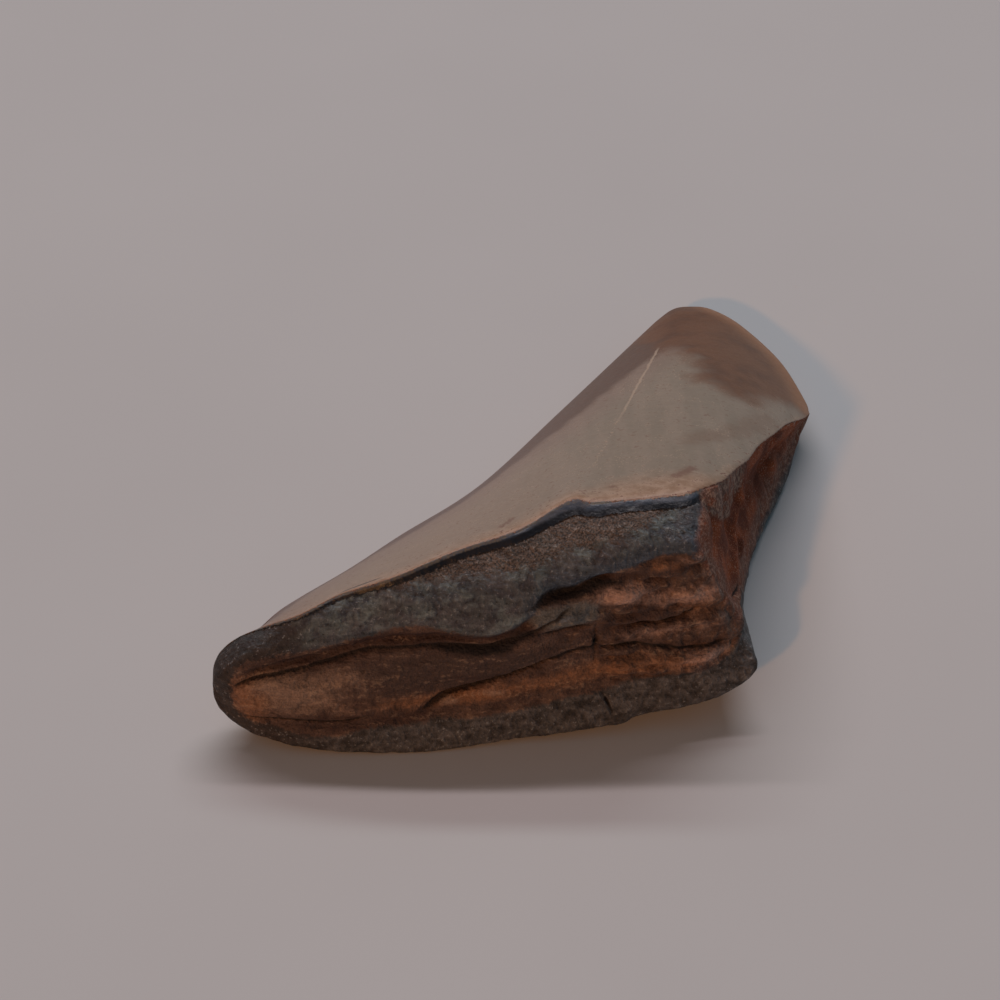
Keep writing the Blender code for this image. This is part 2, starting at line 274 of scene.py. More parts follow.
def outward(grid):
    # unit normal = (step round the rib) x (step to the next rib), made one long
    along = np.gradient(grid, axis=0)
    wrapped = np.concatenate([grid[:, -1:], grid, grid[:, :1]], axis=1)
    normal = np.cross((wrapped[:, 2:] - wrapped[:, :-2]) / 2, along)
    return normal / np.maximum(np.linalg.norm(normal, axis=2, keepdims=True), tiny)


def offsetFrom(line, places):
    # distance from each place to the nearest point of a smoothed line in the same plane,
    # counted positive on the line's left side and negative on its right
    line = smoothCurve(line, 4)
    nearest = np.full(places.shape[:-1], np.inf)
    side = np.zeros(places.shape[:-1])
    for start, end in zip(line[:-1], line[1:]):
        span = end - start
        ahead = places - start
        share = np.clip(ahead @ span / (span @ span), 0, 1)
        gap = np.linalg.norm(ahead - share[..., None] * span, axis=-1)
        closer = gap < nearest
        nearest = np.where(closer, gap, nearest)
        side = np.where(closer, np.sign(span[0] * ahead[..., 1] - span[1] * ahead[..., 0]), side)
    return nearest * side


def grain(places, seed):
    # value noise from -1 to 1: hashed values at the corners of unit cells, eased in between
    cell = np.floor(places)
    f = places - cell
    f = f * f * (3 - 2 * f)
    total = 0
    for corner in np.ndindex(2, 2, 2):
        scrambled = np.sin((cell + corner) @ np.array([127.1, 311.7, 74.7]) + seed) * 43758.5453
        total = total + (scrambled - np.floor(scrambled)) * np.prod(np.where(corner, f, 1 - f), axis=-1)
    return total * 2 - 1


# Relief of the root. A form is (rise, reach on its upper side, reach on its lower side, line) and a
# crack is (depth, half width, how dark its painted shade is, line). The base's lines are x, z seen
# from the front; the break's are y, z seen from the side.
reliefShape = {
    "baseForms": (
        (-0.8, 0.45, 0.55, ((-31.0, 7.2), (-28.5, 8.0), (-25.8, 8.7), (-22.6, 9.4), (-19.3, 10.2),
                            (-16.5, 10.7), (-14.1, 10.9), (-12.0, 10.8), (-9.7, 10.6), (-7.6, 11.1),
                            (-5.9, 11.9), (-4.4, 13.2))),
        (-0.9, 0.4, 0.5, ((-4.8, 14.1), (-3.2, 14.7), (-1.9, 14.8), (-0.8, 15.3), (0.6, 15.6),
                          (2.2, 15.5), (3.4, 15.2))),
        (-0.7, 0.35, 0.6, ((4.6, 14.6), (5.6, 14.4), (6.5, 14.2))),
        (-0.6, 0.2, 1.0, ((-14.4, 4.4), (-13.3, 5.1), (-11.5, 5.8), (-9.6, 6.4), (-7.4, 7.1),
                          (-5.3, 7.7), (-3.0, 8.3))),
        (-0.5, 0.25, 0.6, ((2.2, 10.5), (4.3, 10.4), (6.1, 10.3), (7.8, 10.5), (9.0, 10.9), (10.0, 11.5))),
        (-0.25, 0.25, 0.4, ((0.6, 8.6), (3.4, 8.5), (7.1, 8.0), (9.6, 7.6), (12.4, 7.8))),
        (0.5, 0.5, 0.5, ((7.4, 6.9), (9.2, 6.8), (11.4, 7.0))),
        (-0.3, 0.4, 0.7, ((-30.9, 3.4), (-27.0, 3.5), (-21.7, 3.5), (-17.0, 4.1))),
        (0.5, 1.8, 1.8, ((-29.0, 5.8), (-23.0, 6.4), (-16.0, 7.4), (-8.0, 8.9), (-2.0, 10.1))),
        (0.9, 0.6, 0.7, ((1.1, 13.8), (2.2, 14.0), (3.4, 13.8), (4.6, 13.3))),
        (0.5, 0.5, 0.6, ((6.4, 12.6), (8.6, 12.8), (11.0, 12.5))),
        (0.4, 0.4, 0.5, ((4.9, 16.0), (6.2, 15.9), (7.5, 15.6))),
        (-0.7, 0.35, 0.5, ((7.7, 15.3), (9.2, 15.6), (10.8, 15.3))),
        (0.4, 0.3, 0.3, ((8.0, 16.6), (9.4, 16.7), (10.6, 16.3))),
        (0.5, 0.5, 0.5, ((8.8, 10.0), (11.0, 10.0), (12.8, 9.8))),
        (0.4, 0.4, 0.4, ((-13.2, 4.5), (-12.2, 4.7), (-11.0, 5.0))),
        (0.5, 0.8, 0.9, ((1.4, 6.9), (7.9, 6.5), (12.0, 6.8))),
        (0.8, 0.6, 0.6, ((-4.4, 12.0), (-2.4, 12.3), (-0.2, 12.5))),
    ),
    "baseCracks": (
        (0.4, 0.16, 0.7, ((-31.6, 6.2), (-29.7, 7.1), (-25.8, 8.0), (-22.6, 8.8), (-19.3, 9.6),
                          (-16.1, 9.9), (-14.1, 10.1), (-9.7, 10.0), (-8.0, 10.4), (-6.4, 10.9),
                          (-5.3, 11.3), (-4.1, 11.8), (-2.8, 12.7), (-1.6, 13.5))),
        (0.4, 0.36, 1.0, ((-14.0, 10.0), (-12.0, 9.9), (-9.7, 9.8), (-8.0, 10.2), (-6.0, 10.9))),
        (0.4, 0.45, 1.0, ((-5.2, 13.4), (-3.9, 14.1), (-2.6, 14.4), (-1.2, 14.6), (0.2, 15.1), (1.4, 15.1))),
        (0.5, 0.26, 1.0, ((-15.0, 3.7), (-13.4, 4.8), (-11.5, 5.5), (-9.6, 6.1), (-7.4, 6.9),
                          (-5.3, 7.6), (-3.6, 8.2))),
        (0.3, 0.18, 0.9, ((-5.2, 7.7), (-3.4, 8.3), (-1.7, 8.7), (0.4, 8.9), (1.2, 8.9))),
        (0.4, 0.16, 0.85, ((-4.8, 11.2), (-3.1, 11.1), (-1.5, 11.1), (0.3, 11.1))),
        (0.6, 0.22, 1.0, ((0.35, 9.6), (0.35, 8.9))),
        (0.2, 0.12, 0.35, ((0.3, 11.6), (0.35, 10.2), (0.35, 8.6), (0.3, 7.7), (0.1, 6.7))),
        (0.3, 0.18, 0.6, ((2.9, 10.6), (4.3, 10.5), (6.1, 10.4), (7.8, 10.6), (9.0, 11.0), (9.8, 11.5))),
        (0.25, 0.18, 0.65, ((0.6, 8.6), (3.4, 8.5), (7.1, 8.0), (9.6, 7.6), (12.4, 7.8))),
        (0.2, 0.12, 0.5, ((-31.0, 3.3), (-27.0, 3.6), (-24.3, 3.5), (-21.6, 3.5), (-19.5, 3.9))),
        (0.4, 0.14, 0.9, ((0.9, 4.3), (1.2, 3.9), (1.6, 3.3), (2.0, 2.5))),
        (0.3, 0.16, 0.6, ((0.4, 14.9), (1.6, 15.0), (2.8, 14.9))),
    ),
    "breakForms": (
        (0.7, 0.9, 1.1, ((-12.0, 7.8), (-9.0, 8.8), (-6.0, 9.9), (-3.0, 11.8), (1.0, 12.8))),
        (0.5, 0.5, 0.5, ((-0.2, 8.4), (-0.7, 5.0))),
        (-1.0, 2.0, 2.0, ((2.0, 9.5), (7.0, 8.0), (13.0, 5.5))),
    ),
    "breakCracks": (
        (0.3, 0.2, 0.5, ((-11.0, 9.6), (-9.4, 9.0), (-7.6, 8.6))),
    ),
    "formTaper": 2.0,          # forms and cracks run out over these lengths at both ends
    "crackTaper": 1.2,
    "longestTaper": 0.4,       # but never over more than this share of a line
    "farGap": 9.0,             # half widths from a crack that count as nowhere near one
    "baseFrontY": -10,         # the base's relief is full in front of this and gone behind the next
    "baseBackY": -6,
    "breakFade": (-0.6, 1.2),  # the break's relief fades in over these lengths from its border
    "ruggedFromX": -1,         # the base is fibrous before this and rugged after the next
    "ruggedToX": 2,
    "endStations": 16,         # the relief fades out over these at either end of the skin
    "swells": ((0.13, (3.2, 3.2, 3.2), 1.0), (0.06, (1.1, 1.1, 1.1), 5.0)),    # height, lengths, seed
    "fibres": ((0.12, (4.0, 4.0, 0.8), 2.0), (0.09, (1.4, 1.4, 0.7), 8.0), (0.05, (0.7, 0.7, 0.5), 14.0)),
    "nodules": ((0.04, (0.8, 0.8, 0.5), 21.0),),
    "crumbs": ((0.04, (0.55, 0.55, 0.55), 3.0),),
    "lumps": ((0.26, (2.8, 2.8, 1.0), 4.0), (0.14, (1.1, 1.1, 0.6), 6.0)),
    "shards": ((0.25, (3.4, 3.4, 4.2), 9.0), (0.03, (0.9, 0.9, 1.1), 12.0)),
}


def tapered(line, places, taper):
    # 0 at either end of the line, 1 further than the taper from both of them
    ends = np.asarray(line)[[0, -1]]
    taper = min(taper, reliefShape["longestTaper"] * np.linalg.norm(ends[1] - ends[0]))
    return faded(np.linalg.norm(places[..., None, :] - ends, axis=-1).min(axis=-1), 0, taper)


def formed(forms, places, taper):
    # sum of rise x exp(-(offset / reach)^2) over the lines
    height = np.zeros(places.shape[:-1])
    for rise, reachAbove, reachBelow, line in forms:
        offset = offsetFrom(line, places)
        width = np.where(offset > 0, reachAbove, reachBelow)
        height += rise * np.exp(-((offset / width) ** 2)) * tapered(line, places, taper)
    return height


def cracked(cracks, places, taper):
    # sum of -depth x exp(-(offset / half width)^2), and the least offset / half width over the
    # lines, counted one further away where a line isn't dark at all
    height = np.zeros(places.shape[:-1])
    gap = np.full(places.shape[:-1], reliefShape["farGap"])
    for depth, halfWidth, dark, line in cracks:
        offset = np.abs(offsetFrom(line, places)) / halfWidth
        strength = tapered(line, places, taper)
        height -= depth * np.exp(-(offset ** 2)) * strength
        gap = np.minimum(gap, offset + 1 - dark * strength)
    return height, gap


def rough(noises, places, lumpy=False):
    # sum of height x grain(place / lengths), or of height x (3 |grain| - 1) for creased lumps
    total = 0
    for height, lengths, seed in noises:
        value = grain(places / np.array(lengths), seed)
        total = total + height * (3 * np.abs(value) - 1 if lumpy else value)
    return total


def relief(grid, marks, shape):
    # how far each place stands out of the skin: its forms and worn grain, then swells and cracks
    onBase = faded(grid[..., 1], shape["baseBackY"], shape["baseFrontY"])
    onBreak = faded(marks["breakMm"], *shape["breakFade"])
    onBase = onBase * (1 - onBreak)
    rugged = faded(grid[..., 0], shape["ruggedFromX"], shape["ruggedToX"])
    inBase = faded(marks["baseMm"], -0.25, 0.25) * (1 - onBreak)
    seenFront, seenSide = grid[..., [0, 2]], grid[..., 1:]
    baseCrack, baseGap = cracked(shape["baseCracks"], seenFront, shape["crackTaper"])
    breakCrack, breakGap = cracked(shape["breakCracks"], seenSide, shape["crackTaper"])
    worn = between(rough(shape["fibres"], grid), rough(shape["lumps"], grid, lumpy=True), rugged)
    worn = worn + rough(shape["nodules"], grid, lumpy=True)
    shards = rough(shape["shards"], grid, lumpy=True)
    marks["crackGap"] = np.minimum(np.where(onBase > 0.5, baseGap, shape["farGap"]),
                                   np.where(onBreak > 0.5, breakGap, shape["farGap"]))
    marks["raised"] = marks["rootShare"] * (
        onBase * formed(shape["baseForms"], seenFront, shape["formTaper"])
        + onBreak * (formed(shape["breakForms"], seenSide, shape["formTaper"]) + shards)
        + inBase * worn)
    height = marks["raised"] + marks["rootShare"] * (
        rough(shape["swells"], grid) + onBase * baseCrack + onBreak * breakCrack
        + (1 - inBase) * (1 - onBreak) * rough(shape["crumbs"], grid))
    fromEnd = np.minimum(np.arange(len(grid)), np.arange(len(grid))[::-1])
    return height * faded(fromEnd, 1, shape["endStations"])[:, None]


# Where each finish lies. The base's outline and patches are x, z seen from the front; a patch is
# (x, z, half width, half height, strength). The crown's lines are x, y seen from above. A width is
# given at places along x.
finishPlaces = {
    "wornOutline": (
        (9.0, 17.1), (7.9, 17.2), (5.8, 16.8), (4.1, 16.5), (2.4, 16.0), (0.3, 15.6), (-1.8, 14.8),
        (-3.9, 14.4), (-5.3, 12.7), (-7.4, 11.6), (-9.7, 11.2), (-12.1, 11.7), (-14.5, 12.2),
        (-16.8, 12.1), (-19.3, 11.2), (-21.2, 10.8), (-24.1, 10.0), (-28.1, 9.6), (-30.5, 8.9),
        (-31.5, 6.6), (-31.6, 5.0), (-30.9, 3.4), (-27.8, 2.8), (-24.9, 2.2), (-21.7, 2.3),
        (-19.4, 2.8), (-15.9, 2.8), (-13.3, 3.1), (-10.6, 3.0), (-7.4, 3.3), (-3.8, 3.7),
        (-1.6, 4.2), (0.9, 4.3), (3.2, 5.0), (7.9, 5.6), (11.2, 5.9), (13.1, 7.1), (14.2, 8.6),
        (13.6, 11.5), (12.0, 14.5), (9.0, 17.1),
    ),
    "patches": {
        "orangePatch": (
            (-30.0, 5.4, 2.2, 2.6, 0.8), (-11.3, 4.9, 3.6, 0.7, 1.0), (-5.5, 5.7, 4.5, 0.9, 0.55),
            (0.0, 6.3, 4.0, 1.0, 0.6), (6.2, 16.0, 1.6, 0.5, 0.7), (6.5, 6.9, 5.0, 0.9, 0.6),
            (9.5, 11.5, 3.0, 1.2, 0.5), (-17.0, 4.6, 3.0, 0.7, 0.5),
        ),
        "palePatch": (
            (-25.5, 5.9, 4.2, 1.8, 0.9), (-21.5, 7.4, 2.4, 0.8, 0.5), (-12.6, 4.6, 1.0, 0.4, 1.0),
            (-8.6, 5.2, 1.6, 0.4, 0.6), (-28.0, 6.8, 2.0, 0.7, 0.5),
        ),
        "pinkPatch": (
            (2.8, 13.8, 2.3, 0.9, 1.0), (9.0, 12.6, 3.6, 0.9, 0.75), (10.5, 9.8, 3.2, 1.0, 0.25),
            (9.3, 16.6, 1.6, 0.3, 0.6),
            (5.0, 9.5, 4.0, 0.6, 0.4), (11.5, 14.6, 2.0, 0.8, 0.6), (10.2, 6.9, 3.0, 0.8, 0.7),
        ),
        "greyPatch": (
            (-15.5, 7.2, 6.5, 2.3, 1.0), (-8.0, 8.6, 4.5, 1.5, 1.0), (-1.6, 9.6, 2.0, 0.8, 0.6),
        ),
        # painted shade: dark spots in the gash and under the bark's lip, and along the crack above the panel
        "darkPatch": (
            (-9.4, 9.9, 2.6, 0.4, 1.0), (-6.0, 11.2, 1.6, 0.5, 0.7), (-2.6, 14.5, 2.0, 0.5, 1.0),
            (1.4, 15.0, 2.2, 0.4, 0.7), (-26.0, 8.0, 4.0, 0.3, 0.4), (-18.0, 9.5, 4.0, 0.3, 0.4),
        ),
        # partly the base's own dark red and partly painted shade: the spots right under the bark's lip (x -10
        # and x 2 to 9) stand in for its shadow
        "redPatch": (
            (-26.0, 8.8, 5.0, 0.7, 0.8), (-18.0, 10.6, 6.0, 0.8, 1.0), (-22.0, 2.9, 6.0, 0.7, 0.6),
            (-16.0, 3.5, 3.0, 0.7, 0.6), (2.5, 10.2, 3.0, 1.4, 0.6), (5.5, 11.6, 3.5, 0.6, 0.6),
            (-10.0, 11.3, 5.0, 0.7, 1.0), (2.0, 15.4, 4.0, 0.5, 0.7), (-9.0, 7.2, 5.0, 0.5, 0.5),
            (9.2, 15.7, 2.4, 0.4, 1.0), (5.6, 14.6, 2.0, 0.4, 0.8),
        ),
        "crustPatch": ((-3.2, 12.5, 2.2, 1.0, 1.3), (-0.8, 12.6, 1.4, 1.1, 1.2)),
    },
    "breakLine": ((-15.0, 9.0), (-12.4, 8.2), (-9.5, 6.9), (-6.0, 5.2), (-2.0, 3.6), (4.0, 2.4),
                  (24.0, 1.6)),
    "facetLine": ((-9.6, 19.1), (-8.2, 16.5), (-4.7, 13.3), (-2.8, 13.4), (0.0, 13.8), (2.3, 14.6)),
    "brownLine": ((5.0, 38.6), (6.6, 35.0), (8.1, 31.8), (8.8, 29.2), (10.0, 28.0), (11.2, 25.5),
                  (11.1, 21.6), (11.5, 19.0), (12.8, 18.0), (14.3, 15.8), (15.8, 15.4),
                  (17.6, 17.2), (20.0, 20.3), (24.5, 21.4)),
    "brownLens": ((9.6, 3.4), (10.8, 4.4), (12.5, 5.7), (15.2, 8.5), (18.3, 14.1)),
    "chippedEdge": ((14.8, 42.5), (17.8, 39.4), (21.4, 32.7), (23.3, 26.0), (23.6, 23.4)),
    "stripWidth": ((-33, 0.05), (-22, 0.2), (-14, 0.3), (-8, 0.3), (-4, 0.15), (-1.5, 0.35), (2, 0.15),
                   (5, 0.2), (8.6, 0.4), (9.8, 0.5)),
    "navyWidth": ((-33, 0.0), (-27, 0.15), (-22, 0.3), (-18, 0.4), (-10, 0.6), (-5.7, 0.9),
                  (-3.2, 1.2), (-1.3, 1.3), (1.5, 1.2), (5, 1.3), (8.6, 1.2), (9.8, 0.6), (10.6, -0.8)),
    "sandWidth": ((-27, -1.2), (-20, -0.6), (-17, 0.2), (-14, 0.9), (-8, 2.1), (-4.6, 3.0), (-1, 3.1),
                  (2.3, 2.4), (5, 1.3), (7, 0.2), (9, -0.8)),
    "rosyWidth": ((-30, 1.0), (-20, 2.4), (-13, 3.8), (-7, 3.4), (0, 5.4), (8, 6.0)),
    "enamelLap": ((-33, 0.0), (1, 0.0), (4, 0.25), (8, 0.3), (10, 0.0)),   # how far it runs on over the neck
    "tanWidth": ((-30, 1.5), (-20, 2.4), (-8, 2.6), (-2, 3.2), (4, 5.0), (9, 5.0), (12, 2.0), (15, 0.5)),
    "reliefStart": 3,          # places below the enamel line where the root's relief starts
    "undersideEnamel": 0.3,    # where the hidden face's enamel starts, as a share of the underside
    "rosyX": (3, -14),         # the crown turns rosy from the first x to the second
    "barkUpperZ": (8, 10.5),   # the bark turns blue-grey from the first height to the second
    "lipBlueX": (-7, -3),      # its lip turns blue from the first x to the second
    "lobeX": (-21.5, -28),     # and it turns brown round the lobe
    "farthest": 8,             # lengths are kept up to this far from a border
}


def surfaceMarks(grid, shape, places):
    # lengths over the skin, summed along ribs and along stations, from the borders of each finish
    steps = np.cumsum([0, *shape["frontSteps"]]) + shape["crownSteps"] + 1
    enamelAt, restAt = steps[0], steps[-1]
    columns = np.arange(grid.shape[1])
    x = grid[..., 0]

    def wide(name):
        return np.interp(x, *zip(*places[name]))

    walked = np.linalg.norm(np.diff(grid, axis=1, prepend=grid[:, :1]), axis=2).cumsum(axis=1)
    under = between(walked[:, restAt], walked[:, -1], places["undersideEnamel"])
    crownMm = np.where(columns < restAt, walked[:, [enamelAt]] - walked, walked - under[:, None])
    run = np.linalg.norm(np.diff(grid, axis=0, prepend=grid[:1]), axis=2).cumsum(axis=0)
    edgeLine = np.array(shape["cuttingEdge"][0])[:, :2]
    marks = {
        "crownMm": crownMm + wide("enamelLap"),
        "stripMm": -crownMm - wide("stripWidth"),
        "navyMm": -crownMm - wide("stripWidth") - wide("navyWidth"),
        "sandMm": -crownMm - wide("stripWidth") - wide("navyWidth") - wide("sandWidth"),
        "tanMm": wide("tanWidth") - crownMm,
        "rosyMm": wide("rosyWidth") - np.abs(offsetFrom(edgeLine, grid[..., :2])),
        "chipMm": np.abs(offsetFrom(places["chippedEdge"], grid[..., :2])),
        "brownMm": offsetFrom(places["brownLine"], grid[..., :2]),
        "lensMm": np.abs(offsetFrom(places["brownLens"], grid[..., :2])),
        "baseMm": offsetFrom(places["wornOutline"], grid[..., [0, 2]]),
        "breakMm": np.minimum(run - run[[shape["stationsAlong"]]],
                              offsetFrom(places["breakLine"], grid[..., 1:])),
        "facetMm": offsetFrom(places["facetLine"], grid[..., 1:]),
    }
    marks = {name: np.clip(values, -places["farthest"], places["farthest"]) for name, values in marks.items()}
    for name, patches in places["patches"].items():
        marks[name] = sum(
            strength * np.exp(-(((x - middleX) / halfWide) ** 2) - ((grid[..., 2] - middleZ) / halfTall) ** 2)
            for middleX, middleZ, halfWide, halfTall, strength in patches)
    onRoot = (columns >= enamelAt + places["reliefStart"]) & (columns < restAt)
    marks["rootShare"] = onRoot * np.ones_like(crownMm)
    return marks


def addSkin(name, grid, marks, box):
    # the grid as quads, closed round each rib and by a fan of triangles at each end
    stationCount, around = grid.shape[:2]
    low, high = np.array(box[0]), np.array(box[1])
    ends = np.array([lobeEnd, breakEnd]) * mm
    places = np.clip(np.concatenate([grid[1:-1].reshape(-1, 3) * mm, ends]), low, high)
    rows = stationCount - 2
    index = np.arange(rows * around).reshape(rows, around)
    nextRound = np.roll(index, -1, axis=1)
    quads = np.stack([index[:-1], index[1:], nextRound[1:], nextRound[:-1]], axis=-1).reshape(-1, 4)
    startFan = np.stack([np.full(around, rows * around), index[0], nextRound[0]], axis=-1)
    endFan = np.stack([np.full(around, rows * around + 1), nextRound[-1], index[-1]], axis=-1)
    corners = np.concatenate([quads.ravel(), startFan.ravel(), endFan.ravel()])
    sizes = np.concatenate([np.full(len(quads), 4), np.full(2 * around, 3)])

    mesh = bpy.data.meshes.new(name)
    mesh.vertices.add(len(places))
    mesh.vertices.foreach_set("co", places.astype(np.float32).ravel())
    mesh.loops.add(len(corners))
    mesh.loops.foreach_set("vertex_index", corners.astype(np.int32))
    mesh.polygons.add(len(sizes))
    mesh.polygons.foreach_set("loop_start", (np.cumsum(sizes) - sizes).astype(np.int32))
    mesh.polygons.foreach_set("use_smooth", np.ones(len(sizes), bool))
    mesh.update(calc_edges=True)
    for markName, values in marks.items():
        attribute = mesh.attributes.new(markName, "FLOAT", "POINT")
        flat = np.concatenate([values[1:-1].ravel(), [values[0, 0], values[-1, 0]]])
        attribute.data.foreach_set("value", flat.astype(np.float32))
    skin = bpy.data.objects.new(name, mesh)
    bpy.context.scene.collection.objects.link(skin)
    return skin


def tone(red, green, blue):
    # a screen colour (0 to 255) as the linear colour that shaders take
    return tuple(((c / 255 + 0.055) / 1.055) ** 2.4 for c in (red, green, blue)) + (1,)


class Paint:
    # One material's nodes. Each call adds a node and gives back its output.
    def __init__(self, name, textures):
        self.material = bpy.data.materials.new(name)
        self.material.use_nodes = True
        self.nodes = self.material.node_tree.nodes
        self.links = self.material.node_tree.links
        self.surface = self.nodes["Principled BSDF"]
        objectPlace = self.nodes.new("ShaderNodeTexCoord").outputs["Object"]
        self.place = self.vector("SCALE", objectPlace, scale=1 / mm)     # in millimetres
        self.x = self.vector("DOT_PRODUCT", self.place, (1, 0, 0))
        self.z = self.vector("DOT_PRODUCT", self.place, (0, 0, 1))
        self.texture = {name: self.noise(*textures[name]) for name in textures}

    def feed(self, socket, value):
        # a node's output is linked, anything else is set on the socket
        if isinstance(value, bpy.types.NodeSocket):
            self.links.new(value, socket)
        else:
            socket.default_value = value

    def vector(self, operation, a, b=None, scale=None):
        node = self.nodes.new("ShaderNodeVectorMath")
        node.operation = operation
        self.feed(node.inputs[0], a)
        if b is not None:
            self.feed(node.inputs[1], b)
        if scale is not None:
            self.feed(node.inputs["Scale"], scale)
        return node.outputs["Value" if operation == "DOT_PRODUCT" else "Vector"]

    def mark(self, name):
        # one of the skin's marks
        node = self.nodes.new("ShaderNodeAttribute")
        node.attribute_name = name
        return node.outputs["Fac"]

    def math(self, operation, a, b=0.0, c=0.0):
        node = self.nodes.new("ShaderNodeMath")
        node.operation = operation
        for socket, value in zip(node.inputs, (a, b, c)):
            self.feed(socket, value)
        return node.outputs[0]

    def times(self, *factors):
        # the product of all factors
        total = factors[0]
        for factor in factors[1:]:
            total = self.math("MULTIPLY", total, factor)
        return total

    def ragged(self, length, texture, amount):
        # length + (texture - 0.5) x amount, which frays a border
        return self.math("MULTIPLY_ADD", self.texture[texture], amount,
                         self.math("SUBTRACT", length, amount / 2))

    def noise(self, scale, detail, roughness, stretch=(1, 1, 1), turn=(0, 0, 0)):
        node = self.nodes.new("ShaderNodeTexNoise")
        mapping = self.nodes.new("ShaderNodeMapping")
        self.feed(mapping.inputs["Vector"], self.place)
        mapping.inputs["Scale"].default_value = stretch
        mapping.inputs["Rotation"].default_value = [math.radians(angle) for angle in turn]
        self.feed(node.inputs["Vector"], mapping.outputs["Vector"])
        node.inputs["Scale"].default_value = scale
        node.inputs["Detail"].default_value = detail
        node.inputs["Roughness"].default_value = roughness
        return node.outputs["Fac"]

    def ramp(self, value, low, high):
        # 0 at low and 1 at high, eased in between
        node = self.nodes.new("ShaderNodeMapRange")
        node.interpolation_type = "SMOOTHSTEP"
        self.feed(node.inputs["Value"], value)
        self.feed(node.inputs["From Min"], low)
        self.feed(node.inputs["From Max"], high)
        return node.outputs["Result"]

    def above(self, texture, low, high):
        # 0 where the texture is at low, 1 where it is at high
        return self.ramp(self.texture[texture], low, high)

    def mix(self, share, a, b):
        # colour a + (b - a) x share
        node = self.nodes.new("ShaderNodeMix")
        node.data_type = "RGBA"
        self.feed(node.inputs["Factor"], share)
        self.feed(node.inputs[6], a)
        self.feed(node.inputs[7], b)
        return node.outputs[2]

    def blend(self, share, a, b):
        # number a + (b - a) x share
        node = self.nodes.new("ShaderNodeMix")
        self.feed(node.inputs[0], share)
        self.feed(node.inputs[2], a)
        self.feed(node.inputs[3], b)
        return node.outputs[0]

    def bumps(self, heights, start=0.0):
        # start + the sum of texture x height in millimetres
        for texture, height in heights.items():
            start = self.math("MULTIPLY_ADD", self.texture[texture], height, start)
        return start

    def shaded(self, colour, texture, low, high):
        # the colour times a brightness from low to high, as the texture goes from 0.3 to 0.7
        return self.vector("SCALE", colour, scale=self.blend(self.above(texture, 0.3, 0.7), low, high))

    def stroke(self, start, end, halfWidth, fade, texture, fray):
        # a straight stroke in plan: near 0 across it, and between its ends along it
        length = math.dist(start, end)
        ahead = ((end[0] - start[0]) / length, (end[1] - start[1]) / length)
        along = self.vector("DOT_PRODUCT", self.place, (*ahead, 0))
        along = self.math("SUBTRACT", along, start[0] * ahead[0] + start[1] * ahead[1])
        across = self.vector("DOT_PRODUCT", self.place, (-ahead[1], ahead[0], 0))
        across = self.math("SUBTRACT", across, start[1] * ahead[0] - start[0] * ahead[1])
        near = self.ramp(self.math("ABSOLUTE", self.ragged(across, texture, fray)), halfWidth, halfWidth / 3)
        return self.times(near, self.ramp(along, 0, fade), self.ramp(along, length, length - fade)), along


# How fine each texture is (per millimetre), its detail, roughness, stretch and turn in degrees
fossilTextures = {
    "cloud": (0.35, 2, 0.5),
    "mottle": (1.0, 4, 0.62),
    "fine": (2.6, 3, 0.6),
    "grit": (6.0, 1, 0.5),
    "fibre": (1.3, 4, 0.62, (0.28, 0.5, 1.4), (0, 5, 0)),
    "growth": (0.7, 3, 0.55, (1, 0.12, 0.3), (0, 0, 14)),
}

finish = {
    "enamelGrey": tone(149, 133, 115),
    "enamelPale": tone(157, 139, 121),
    "enamelRosy": tone(162, 138, 119),
    "enamelTan": tone(184, 151, 126),
    "enamelTanDark": tone(164, 128, 100),
    "enamelBlush": tone(146, 114, 100),
    "enamelPink": tone(99, 69, 51),
    "enamelPinkPale": tone(107, 77, 66),
    "enamelBrown": tone(119, 77, 47),
    "enamelDark": tone(104, 66, 40),
    "enamelOrange": tone(162, 111, 73),
    "cream": tone(196, 170, 146),
    "rust": tone(120, 78, 60),
    "stripHighlight": tone(112, 108, 100),
    # painted highlight: the pale edge along the top of the glossy neck band
    "navy": tone(24, 25, 32),
    "navyHighlight": tone(98, 104, 115),
    "bark": tone(111, 124, 127),
    "barkDark": tone(66, 71, 80),
    "barkPurple": tone(84, 81, 85),
    "barkBlue": tone(68, 80, 96),
    "rim": tone(94, 92, 92),
    "rimDark": tone(60, 56, 54),
    "lobe": tone(53, 42, 37),
    "sand": tone(112, 95, 83),
    "sandDark": tone(62, 56, 52),
    "speck": tone(176, 180, 182),
    "baseBrown": tone(106, 83, 71),
    "baseDark": tone(80, 58, 49),
    "grey": tone(75, 60, 55),
    "red": tone(60, 38, 31),
    "orange": tone(151, 107, 76),
    "pale": tone(152, 127, 110),
    "pink": tone(198, 162, 146),
    "straw": tone(176, 150, 124),
    "hollow": tone(62, 42, 37),
    "crust": tone(104, 108, 108),
    # painted shade colour, laid on by the darkPatch spots
    "dark": tone(30, 20, 17),
    "breakRed": tone(146, 69, 27),
    "breakDark": tone(102, 44, 19),
    "facet": tone(107, 76, 65),
    # the facet's pale colour, also used for the break's painted glints
    "facetPaleAndGlint": tone(162, 133, 116),
    # painted shade laid into cracks and pits
    "crackAndPitShade": tone(24, 16, 13),
    "patchStrength": 0.85,
    "gloss": 0.4,
    # roughness from the lows to the highs of a texture, and bump heights in millimetres
    "enamelRough": (0.32, 0.5),
    "enamelBumps": {"mottle": 0.03},
    "scratchBump": 0.05,
    "neckRough": (0.25, 0.55),
    "neckBumps": {"fine": 0.08},
    "barkRough": (0.55, 0.8),
    "barkBumps": {"mottle": 0.25, "fine": 0.3},
    "baseRough": (0.5, 0.8),
    "baseBumps": {"fine": 0.32, "fibre": 0.24},
    "breakRough": 0.85,
    "breakBumps": {"grit": 0.1},
}
